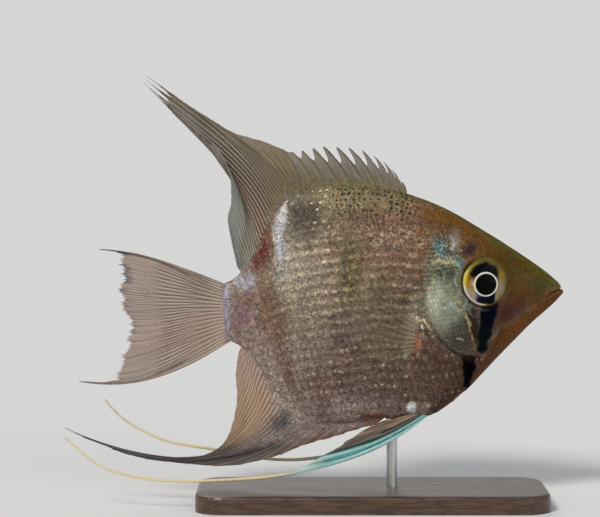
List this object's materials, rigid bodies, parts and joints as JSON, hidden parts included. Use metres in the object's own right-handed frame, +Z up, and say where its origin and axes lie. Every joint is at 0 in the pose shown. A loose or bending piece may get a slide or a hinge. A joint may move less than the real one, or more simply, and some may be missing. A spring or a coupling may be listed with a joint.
{
  "type": "freshwater angelfish model",
  "caption": "Life-size still model of a freshwater angelfish with streaming fins and thread-like pelvic fins, held by one rod on a flat wooden base.",
  "frame": {"origin": "middle of the stand base's underside, which rests on a table or shelf", "axes": "+X towards the fish's snout, +Y towards its left side, +Z up"},
  "size_m": [0.1117, 0.03, 0.0954],
  "materials": {
    "skin": "scaled, moist satin",
    "fin": "thin, ribbed, slightly see-through",
    "eye": "wet gloss",
    "stand_wood": "oiled walnut",
    "stand_metal": "brushed"
  },
  "bodies": {
    "root": {"head": "skin", "lower_jaw": "skin", "gill_cover_right": "skin", "gill_cover_left": "skin", "trunk": "skin", "tail_stalk": "skin", "dorsal_fin_spiny": "fin", "dorsal_fin_soft": "fin", "anal_fin_spiny": "fin", "anal_fin_soft": "fin", "tail_fin": "fin", "pectoral_fin_right": "fin", "pectoral_fin_left": "fin", "pelvic_fin_right": "fin", "pelvic_fin_left": "fin", "pelvic_filament_right": "fin", "pelvic_filament_left": "fin", "eye_right": "eye", "eye_left": "eye", "stand_base": "stand_wood", "stand_rod": "stand_metal"}
  },
  "joints": []
}
